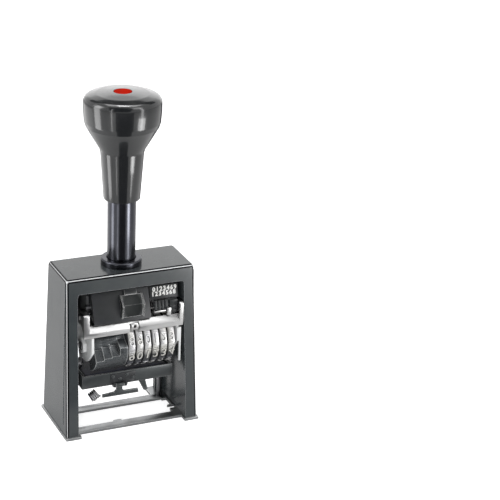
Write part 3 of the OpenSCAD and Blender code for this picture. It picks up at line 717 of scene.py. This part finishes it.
neck = {"radius": 7.6, "bore": 6.1, "rodBore": 3.05, "flange": 10.4, "low": 82.6, "seat": 84, "springSeat": 92,
        "top": 133.5, "edge": 0.2, "topEdge": 0.4, "collar": 11.1, "collarFoot": 89.6, "collarTop": 93,
        "collarSlope": 0.6, "collarEdge": 0.25, "dip": 0.5}
handle = {"seam": 153.4, "sleeveLow": 126.5, "sleeveRadius": 9.7, "sleeveEdge": 0.55, "sleeveTop": 11.6,
          "sleeveTopEdge": 0.12, "sleeveBore": 7.65, "spigot": 9.6, "spigotTop": 168, "roof": 166.4,
          "rodBore": 3,
          "flank": [(11.85, 0, 0.15), (12.0, 1.0), (19.3, 13.6, 1.2), (20.15, 16.3, 3.0), (20.6, 22.0),
                    (20.6, 29.6, 3.9)],  # above the seam
          "crown": 185.5,
          "dome": [(14.0, -0.9, 9.0), (9.5, -0.45), (5.0, -0.02, 0.2), (4.8, -0.3)],  # from the crown
          "capBore": 4.8, "capFloor": 176, "capRadius": 4.75, "capSeat": 179.8, "capTop": 185.8,
          "capCrown": [(4.75, -0.2, 0.35), (2.4, -0.04)]}  # from the cap's top


def lifted(outline, height):
    return [(radius, height + z, *fillet) for radius, z, *fillet in outline]


def makeNeck():
    n = neck
    tube = turned("neckTubePart", [
        (n["rodBore"], n["low"]), (n["flange"], n["low"], n["edge"]), (n["flange"], n["seat"], n["edge"]),
        (n["radius"], n["seat"]), (n["radius"], n["top"], n["topEdge"]), (n["bore"], n["top"]),
        (n["bore"], n["springSeat"]), (n["rodBore"], n["springSeat"])])
    smooth(tube, below=40)
    finishPiece(tube, "neckLacquer", "frame", "black_enamel", "neck_tube")
    ring = turned("neckCollarPart", [
        (n["radius"], n["collarFoot"]), (n["collar"], n["collarFoot"], n["edge"]),
        (n["collar"], n["collarTop"] - n["collarSlope"], n["collarEdge"]),
        (n["collar"] - n["collarSlope"], n["collarTop"], n["collarEdge"]),
        (n["radius"] + n["dip"], n["collarTop"]), (n["radius"], n["collarTop"] - n["dip"])])
    smooth(ring, below=40)
    finishPiece(ring, "neckLacquer", "frame", "black_enamel", "neck_collar")


def makeHandle():
    h = handle
    seam = h["seam"]
    knob = turned("knobPart", [
        (h["spigot"], seam), *lifted(h["flank"], seam), *lifted(h["dome"], h["crown"]),
        (h["capBore"], h["capFloor"]), (h["rodBore"], h["capFloor"]), (h["rodBore"], h["spigotTop"]),
        (h["spigot"], h["spigotTop"])], sides=128)
    smooth(knob, below=32)
    finishPiece(knob, "knobGloss", "carriage", "knob_black", "knob")
    cap = turned("knobCapPart", [(0, h["capSeat"]), (h["capRadius"], h["capSeat"]),
                                 *lifted(h["capCrown"], h["capTop"]), (0, h["capTop"])], closed=False)
    smooth(cap, below=40)
    finishPiece(cap, "redGloss", "carriage", "cap_red", "knob_cap")
    sleeve = turned("handleSleevePart", [
        (h["sleeveBore"], h["sleeveLow"]), (h["sleeveRadius"], h["sleeveLow"], h["sleeveEdge"]),
        (h["sleeveTop"], seam, h["sleeveTopEdge"]), (h["spigot"], seam), (h["spigot"], h["spigotTop"]),
        (h["rodBore"], h["spigotTop"]), (h["rodBore"], h["roof"]), (h["sleeveBore"], h["roof"])], sides=128)
    smooth(sleeve, below=40)
    finishPiece(sleeve, "knobGloss", "carriage", "knob_black", "handle_sleeve")


makeNeck()
makeHandle()
print("neck and handle modelled")


# Springs: the return spring, and the small one that stays in the tray's bracket

springs = {"returnFoot": 92.1, "returnTop": 166.3, "returnRadius": 4.7, "returnWire": 0.6, "returnTurns": 12,
           "leverPlace": (-22.3, -13.4, 17.7), "leverTilt": 55, "leverRadius": 2.4, "leverWire": 0.5,
           "leverLength": 5.6, "leverTurns": 4, "travel": 32.3}


def makeSprings():
    s = springs
    height = s["returnTop"] - s["returnFoot"]
    long = coil("returnSpringPart", s["returnRadius"], s["returnWire"], height, s["returnTurns"])
    long.location = (0, 0, s["returnFoot"] * mm)
    makeActive(long)
    applyPlace()
    finishPiece(long, "turnedSteel", "frame", "machine_steel", "return_spring")
    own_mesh(long)
    small = coil("leverSpringPart", s["leverRadius"], s["leverWire"], s["leverLength"], s["leverTurns"])
    small.location = Vector(s["leverPlace"]) * mm
    small.rotation_euler = (0, math.radians(s["leverTilt"]), 0)
    makeActive(small)
    applyPlace()
    finishPiece(small, "turnedSteel", "pad_drawer", "machine_steel", "lever_spring")


makeSprings()
print("springs modelled")


# Figure wheels: one ten-sided wheel with raised figures is modelled, then copied and turned

wheel = {"count": 6, "first": -0.1, "pitch": 4.6, "width": 4.2, "axis": (-4.5, 46), "flats": 10, "step": 36,
         "flat": 13.9, "block": 14.35, "face": 14.8, "bore": 2.55, "corner": 1.0, "waist": 0.84, "rim": 0.16,
         "edge": 0.14, "figure": 5.2, "figureWidth": 3.1, "sunk": 0.1}


def makeWheelBody():
    w = wheel
    clearSelection()
    cornerRadius = w["flat"] / math.cos(math.pi / w["flats"])
    bpy.ops.mesh.primitive_cylinder_add(vertices=w["flats"], radius=cornerRadius * mm, depth=w["width"] * mm,
                                        rotation=(0, math.pi / 2, 0))
    body = bpy.context.object
    body.name = "figureWheel"
    applyPlace()
    pickEdges(body, lambda a, b: abs(a.x - b.x) > 1)
    bpy.ops.mesh.bevel(offset=w["corner"] * mm, segments=1, affect="EDGES")
    bpy.ops.object.mode_set(mode="OBJECT")

    def atCorner(centre, normal):
        angle = math.degrees(math.atan2(normal.z, normal.y)) % w["step"]
        return abs(normal.x) < 0.5 and min(angle, w["step"] - angle) < w["step"] / 4

    pickFaces(body, atCorner)
    bpy.ops.transform.resize(value=(w["waist"], 1, 1), center_override=(0, 0, 0))
    pickFaces(body, lambda centre, normal: abs(normal.x) < 0.5 and not atCorner(centre, normal))
    bpy.ops.mesh.inset(thickness=w["rim"] * mm, use_individual=True)
    bpy.ops.mesh.extrude_faces_move(TRANSFORM_OT_shrink_fatten={"value": (w["block"] - w["flat"]) * mm})
    bpy.ops.object.mode_set(mode="OBJECT")
    cutAway(body, addRod("wheelBore", w["bore"], (-w["width"], 0, 0), (w["width"], 0, 0), sides=40))
    roundEdges(body, w["edge"], segments=2, above=25)
    return body


def makeFigures():
    # figure k stands at the bottom of a wheel turned to k, cut in mirror image, as type is
    w = wheel
    figures = []
    relief = w["face"] - w["block"] + w["sunk"]
    for k in range(w["flats"]):
        figure = figureMesh(str(k), w["figure"], relief)
        width = figure.dimensions.x / mm
        figure.scale = (min(1, w["figureWidth"] / width), 1, -1)
        figure.location = (0, 0, -(w["face"] - relief / 2) * mm)
        applyPlace()
        figure.rotation_euler = (math.radians(w["step"] * k), 0, 0)
        applyPlace()
        tidyMesh(figure, 1e-7)
        figures.append(figure)
    return figures


def makeWheels():
    w = wheel
    body = makeWheelBody()
    joinPieces(body, makeFigures())
    smooth(body, below=30)
    for i in range(1, w["count"] + 1):
        copy = copyOf("typeWheel%d" % i, body.data)
        copy.rotation_euler = (math.radians(-w["step"] * i), 0, 0)
        copy.location = Vector((w["first"] + (i - 1) * w["pitch"], *w["axis"])) * mm
        makeActive(copy)
        applyPlace()
        finishPiece(copy, "shadedInkedWheel", "figure_%d" % i, "nickel", "type_wheel_%d" % i)
    bpy.data.objects.remove(body)


makeWheels()
print("figure wheels modelled")


# Felt ink pad: a soaked felt block, crowned, with sides that pull in between its corners

pad = {"low": 24.4, "top": 30.55, "half": 23.3, "front": -10.0, "rear": 11.2, "edge": 0.7, "cuts": 14,
       "crown": 0.5, "pull": 0.25, "fill": 0.8}


def makePad():
    p = pad
    depth, middle = p["rear"] - p["front"], (p["rear"] + p["front"]) / 2
    high = p["top"] - p["low"]
    felt = addCube("feltPadPart", (0, middle, (p["low"] + p["top"]) / 2), (2 * p["half"], depth, high))
    roundEdges(felt, p["edge"], segments=4, above=40)
    bpy.ops.object.mode_set(mode="EDIT")
    bpy.ops.mesh.select_all(action="SELECT")
    bpy.ops.mesh.subdivide(number_cuts=p["cuts"])
    bpy.ops.object.mode_set(mode="OBJECT")
    for vertex in felt.data.vertices:
        x, y, z = vertex.co / mm
        across, along, height = (y - middle) / (depth / 2), x / p["half"], (z - p["low"]) / high
        crowned = (1 - across ** 4) * (1 - along ** 6)
        vertex.co.z -= p["crown"] * (1 - crowned) * height * mm
        vertex.co.y -= math.copysign(p["pull"] * (1 - along ** 2) * abs(across) * height, across) * mm
        vertex.co.x -= math.copysign(p["pull"] * (1 - across ** 2) * abs(along) * height, along) * mm
    smooth(felt, below=50)
    finishPiece(felt, "inkedFelt", "pad_drawer", "pad_felt", "felt_pad")


makePad()
print("ink pad modelled")


# Machined and bent parts: each is a merged copy of its node, with its edges rounded by so many mm

machined = {
    "baseSteel": {"base_plate": 0.2, "base_screws": 0.1},
    "turnedSteel": {"guide_rods": 0.1, "pad_pivot_pins": 0.15, "plunger_rod": 0.2, "plunger_nut": 0.25,
                    "crosshead": 0.3, "crosshead_nut": 0.25, "cheek_screws": 0.15, "tie_rods": 0.15,
                    "wheel_shaft": 0.2, "guide_bushes": 0.1, "detent_comb": 0.08, "push_roller": 0.2,
                    "roller_stud": 0.15, "rocker_shaft": 0.15, "pawl_rocker": 0.15, "lever_pin": 0.08},
    "nickelPlate": {"front_bar": 0.18, "cover_pin": 0.12, "comb_strip": 0.15, "comb_post": 0.2,
                    "pawl_block": 0.2, "feed_pawls": 0.12},
    "satinNickel": {"left_cheek": 0.2, "right_cheek": 0.2, "shaft_nuts": 0.25},
    "slideBlack": {"selector_slide": 0.08},
    "bufferRubber": {"buffer_washer": 0.3},
    "coverBlack": {"selector_cover": 0.16, "index_plate": 0.12, "finger_comb": 0.1, "grooved_block": 0.12,
                   "lever_bracket": 0.08},
    "darkSteel": {"bracket_rivets": 0.05, "pad_carrier": 0.15, "pad_tray": 0.18, "release_lever": 0.15},
    "drumBlack": {"repeat_drum": 0.15},
}
# the roller's bore is cut a little wider, so that its facets don't meet the stud's when it turns
rollerBore = {"radius": 1.28, "ends": ((-31, -1.5, 35.9), (-19, -1.5, 35.9))}


def machinedCopy(node, finish, edge):
    piece = copyOf(camelName(node) + "Part", frame["nodes"][node].data)
    makeActive(piece)
    bpy.ops.object.mode_set(mode="EDIT")
    bpy.ops.mesh.select_all(action="SELECT")
    bpy.ops.mesh.remove_doubles(threshold=2e-6)
    bpy.ops.mesh.dissolve_limited(angle_limit=math.radians(1))
    bpy.ops.object.mode_set(mode="OBJECT")
    if node == "push_roller":
        cutAway(piece, addRod("runningClearance", rollerBore["radius"], *rollerBore["ends"], sides=64))
    roundEdges(piece, edge, segments=2, above=32)
    smooth(piece, below=36)
    finishPiece(piece, finish, bodyOf[node], slotOf[node], node, raised=False)


for finish, nodes in machined.items():
    for node, edge in nodes.items():
        machinedCopy(node, finish, edge)
print("machined parts copied and rounded")


# Number scale: two rows of small white figures on the sloped plate

scale = {"foot": (-13.2, 70.8), "head": (-11.6, 78.2), "rows": [("0123469", 76.4), ("1234568", 73.9)],
         "left": 14.4, "right": 26.8, "stagger": -0.7, "height": 2.55, "paint": 0.04, "weight": 0.04}


def makeScaleFigures():
    s = scale
    slope = Vector(s["head"]) - Vector(s["foot"])
    tilt = math.atan2(slope.y, slope.x)
    outward = Vector((-math.sin(tilt), math.cos(tilt)))
    painted = []
    for row, (figures, z) in enumerate(s["rows"]):
        y = s["foot"][0] + (z - s["foot"][1]) * slope.x / slope.y
        for i, figure in enumerate(figures):
            mark = figureMesh(figure, s["height"], s["paint"], s["weight"])
            x = s["left"] + (s["right"] - s["left"]) * i / (len(figures) - 1) + s["stagger"] * row
            mark.rotation_euler = (tilt, 0, 0)
            mark.location = Vector((x, y + outward.x * s["paint"] / 2, z + outward.y * s["paint"] / 2)) * mm
            applyPlace()
            painted.append(mark)
    joinPieces(painted[0], painted[1:])
    painted[0].name = "scaleFigures"
    finishPiece(painted[0], "scaleWhite", "carriage", "cover_black")


makeScaleFigures()
print("number scale painted")


# Floor, lamps and world

lamps = {
    "key": {"azimuth": 30, "elevation": 48, "distance": 0.9, "size": (0.34, 0.34), "power": 0.9},
    "top": {"azimuth": 150, "elevation": 84, "distance": 0.75, "size": (0.60, 0.36), "power": 2.2},
    "fill": {"azimuth": -100, "elevation": 32, "distance": 1.1, "size": (0.6, 0.5), "power": 1.6},
    "low": {"azimuth": -25, "elevation": 10, "distance": 0.9, "size": (0.12, 0.12), "power": 3.0,
            "glossy": False},
}
# lamps close to the object, which only glossy surfaces show: place and size in m, level
strips = {
    "leftStrip": {"azimuth": -96, "distance": 0.22, "size": (0.080, 0.36), "foot": 0, "level": 4.2},
    "thinStrip": {"azimuth": -51, "distance": 0.22, "size": (0.013, 0.36), "foot": 0, "level": 4.0},
    "rightStrip": {"azimuth": 36, "distance": 0.22, "size": (0.028, 0.36), "foot": 0, "level": 4.2},
    "sideGlow": {"azimuth": -146, "distance": 0.25, "size": (0.30, 0.12), "foot": 0, "level": 0.5},
    "bandGlow": {"azimuth": 37, "distance": 0.33, "size": (0.13, 0.07), "foot": 0, "level": 7.5},
    "rearPanel": {"azimuth": 155, "distance": 0.45, "size": (0.50, 0.30), "foot": 0.1, "level": 0.6},
    "overhead": {"azimuth": 150, "elevation": 84, "distance": 0.6, "size": (0.16, 0.07), "foot": 0.13,
                 "level": 28},
}
# dark cloths that only reflections show, so that the black parts keep dark edges
cloths = {
    "frontFloor": {"azimuth": -14, "inner": 0.07, "outer": 0.95, "halfAngle": 26},
    "rearFloor": {"azimuth": 155, "inner": 0.20, "outer": 0.95, "halfAngle": 29},
}
flags = {
    "frontFlag": {"azimuth": -27, "elevation": 33, "distance": 1.0, "size": (1.15, 1.1)},
    "rearFlag": {"azimuth": 155, "elevation": 53, "distance": 1.2, "size": (2.2, 0.50)},
}
surround = {"floor": 8.0, "floorColour": (0.90, 0.90, 0.90), "cameraGlow": 0.75, "glossyGlow": 0.12,
            "sky": 0.50, "darkColour": (0.11, 0.11, 0.12), "lampAim": (0, 0, 0.09), "flagAim": (0, 0, 0.12),
            "clothHeight": 0.0006}


def addLamp(name, position, aim, size, power):
    data = bpy.data.lights.new(name, "AREA")
    data.shape = "RECTANGLE"
    data.size, data.size_y = size
    data.energy = power
    lamp = bpy.data.objects.new(name, data)
    bpy.context.scene.collection.objects.link(lamp)
    lamp.location = position
    lamp.rotation_euler = (Vector(aim) - Vector(position)).to_track_quat("-Z", "Y").to_euler()
    lamp.visible_camera = False
    return lamp


def around(azimuth, elevation, distance, centre):
    a, e = math.radians(azimuth), math.radians(elevation)
    outward = Vector((math.sin(a) * math.cos(e), -math.cos(a) * math.cos(e), math.sin(e)))
    return Vector(centre) + outward * distance


def makeLamps():
    for name, lamp in lamps.items():
        place = around(lamp["azimuth"], lamp["elevation"], lamp["distance"], surround["lampAim"])
        made = addLamp(name, place, surround["lampAim"], lamp["size"], lamp["power"])
        made.visible_glossy = lamp.get("glossy", True)
    for name, lamp in strips.items():
        centre = (0, 0, lamp["foot"] + lamp["size"][1] / 2)
        place = around(lamp["azimuth"], lamp.get("elevation", 0), lamp["distance"], centre)
        power = lamp["level"] * math.pi * lamp["size"][0] * lamp["size"][1]
        made = addLamp(name, place, centre, lamp["size"], power)
        made.visible_diffuse = False
        made.visible_transmission = False


def backgroundRays(tree, seen, mirrored):
    # the level for camera rays, and the one for glossy and transmission rays
    path = addNode(tree, "LightPath", {}).outputs
    other = calculate(tree, "MAXIMUM", path["Is Glossy Ray"], path["Is Transmission Ray"])
    direct = calculate(tree, "MULTIPLY", path["Is Camera Ray"], seen)
    return calculate(tree, "MULTIPLY_ADD", other, mirrored, direct)


def makeBackdrop(name, colour, roughness=0.5):
    material, tree, shader = newMaterial(name)
    fillSockets(tree, shader, {"Base Color": (*colour, 1), "Roughness": roughness, "Specular IOR Level": 0.0})
    return material, tree, shader


def makeFloor():
    clearSelection()
    bpy.ops.mesh.primitive_plane_add(size=surround["floor"])
    floor = bpy.context.object
    floor.name = "floor"
    material, tree, shader = makeBackdrop("paperWhite", surround["floorColour"], 0.9)
    glow = backgroundRays(tree, surround["cameraGlow"], surround["glossyGlow"])
    fillSockets(tree, shader, {"Emission Color": (1, 1, 1, 1), "Emission Strength": glow})
    floor.data.materials.append(material)


def hideButInReflections(cloth, material):
    cloth.data.materials.append(material)
    cloth.visible_camera = False
    cloth.visible_diffuse = False
    cloth.visible_transmission = False
    cloth.visible_shadow = False


def addPlane(name, place, turn, size):
    clearSelection()
    bpy.ops.mesh.primitive_plane_add(size=1, location=place)
    plane = bpy.context.object
    plane.name = name
    plane.scale = (*size, 1)
    plane.rotation_euler = turn
    applyPlace()
    return plane


def makeCloths():
    material = makeBackdrop("darkCloth", surround["darkColour"])[0]
    for name, cloth in cloths.items():
        # a wedge on the table that widens away from the object
        inner, outer = cloth["inner"], cloth["outer"]
        wide = 2 * outer * math.tan(math.radians(cloth["halfAngle"]))
        place = (0, -(inner + outer) / 2, surround["clothHeight"])
        wedge = addPlane(name, place, (0, 0, 0), (wide, outer - inner))
        pickEdges(wedge, lambda a, b: min(a.y, b.y) > -inner / mm - 1)
        bpy.ops.transform.resize(value=(inner / outer, 1, 1), center_override=(0, -inner, 0))
        bpy.ops.object.mode_set(mode="OBJECT")
        wedge.rotation_euler = (0, 0, math.radians(cloth["azimuth"]))
        applyPlace()
        hideButInReflections(wedge, material)
    for name, flag in flags.items():
        place = around(flag["azimuth"], flag["elevation"], flag["distance"], surround["flagAim"])
        turn = (place - Vector(surround["flagAim"])).to_track_quat("Z", "Y").to_euler()
        hideButInReflections(addPlane(name, place, turn, flag["size"]), material)


def makeWorld():
    world = bpy.data.worlds.new("studio")
    bpy.context.scene.world = world
    world.use_nodes = True
    tree = world.node_tree
    rest = 1 - surround["sky"]
    level = calculate(tree, "ADD", backgroundRays(tree, rest, rest), surround["sky"])
    fillSockets(tree, tree.nodes["Background"], {"Color": (1, 1, 1, 1), "Strength": level})


makeLamps()
makeFloor()
makeCloths()
makeWorld()
bpy.context.scene.view_settings.view_transform = "Standard"
print("lamps, floor and world placed")

clearSelection()
